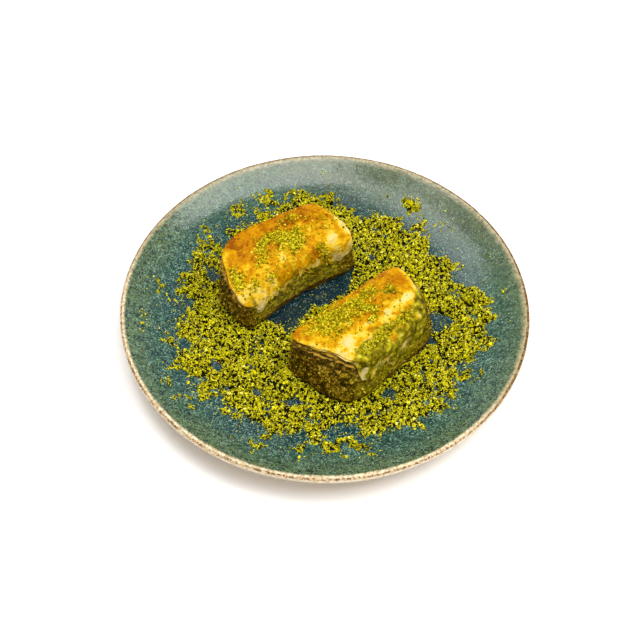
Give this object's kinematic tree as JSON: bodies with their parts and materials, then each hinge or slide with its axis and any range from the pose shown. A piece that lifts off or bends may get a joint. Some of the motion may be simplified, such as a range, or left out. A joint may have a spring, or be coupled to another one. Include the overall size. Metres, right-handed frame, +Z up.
{
  "type": "plate of baklava",
  "caption": "Slices of filled pistachio pastry with a folded golden crust, on a round coupe stoneware plate scattered with ground pistachio.",
  "frame": {"origin": "centre of the plate's foot ring, on the surface that the plate stands on", "axes": "+Z up; -Y towards the viewer of the picture; +X to the viewer's right"},
  "size_m": [0.2, 0.2, 0.0411],
  "materials": {
    "stoneware": "glossy reactive glaze, dark teal in the middle, grey-green and speckled towards a tan rim",
    "pistachio": "dry yellow-green nut crumbs",
    "crust": "thin golden baked pastry, glossy with syrup and pale at its shoulders",
    "filling": "moist olive-brown chopped nut between soaked pastry leaves",
    "base_leaves": "soaked brown pastry leaves with flaky edges"
  },
  "bodies": {
    "root": {"plate": "stoneware", "ground_pistachio": "pistachio", "back_slice_base": "base_leaves", "back_slice_filling": "filling", "back_slice_crust": "crust", "front_slice_base": "base_leaves", "front_slice_filling": "filling", "front_slice_crust": "crust"}
  },
  "joints": []
}
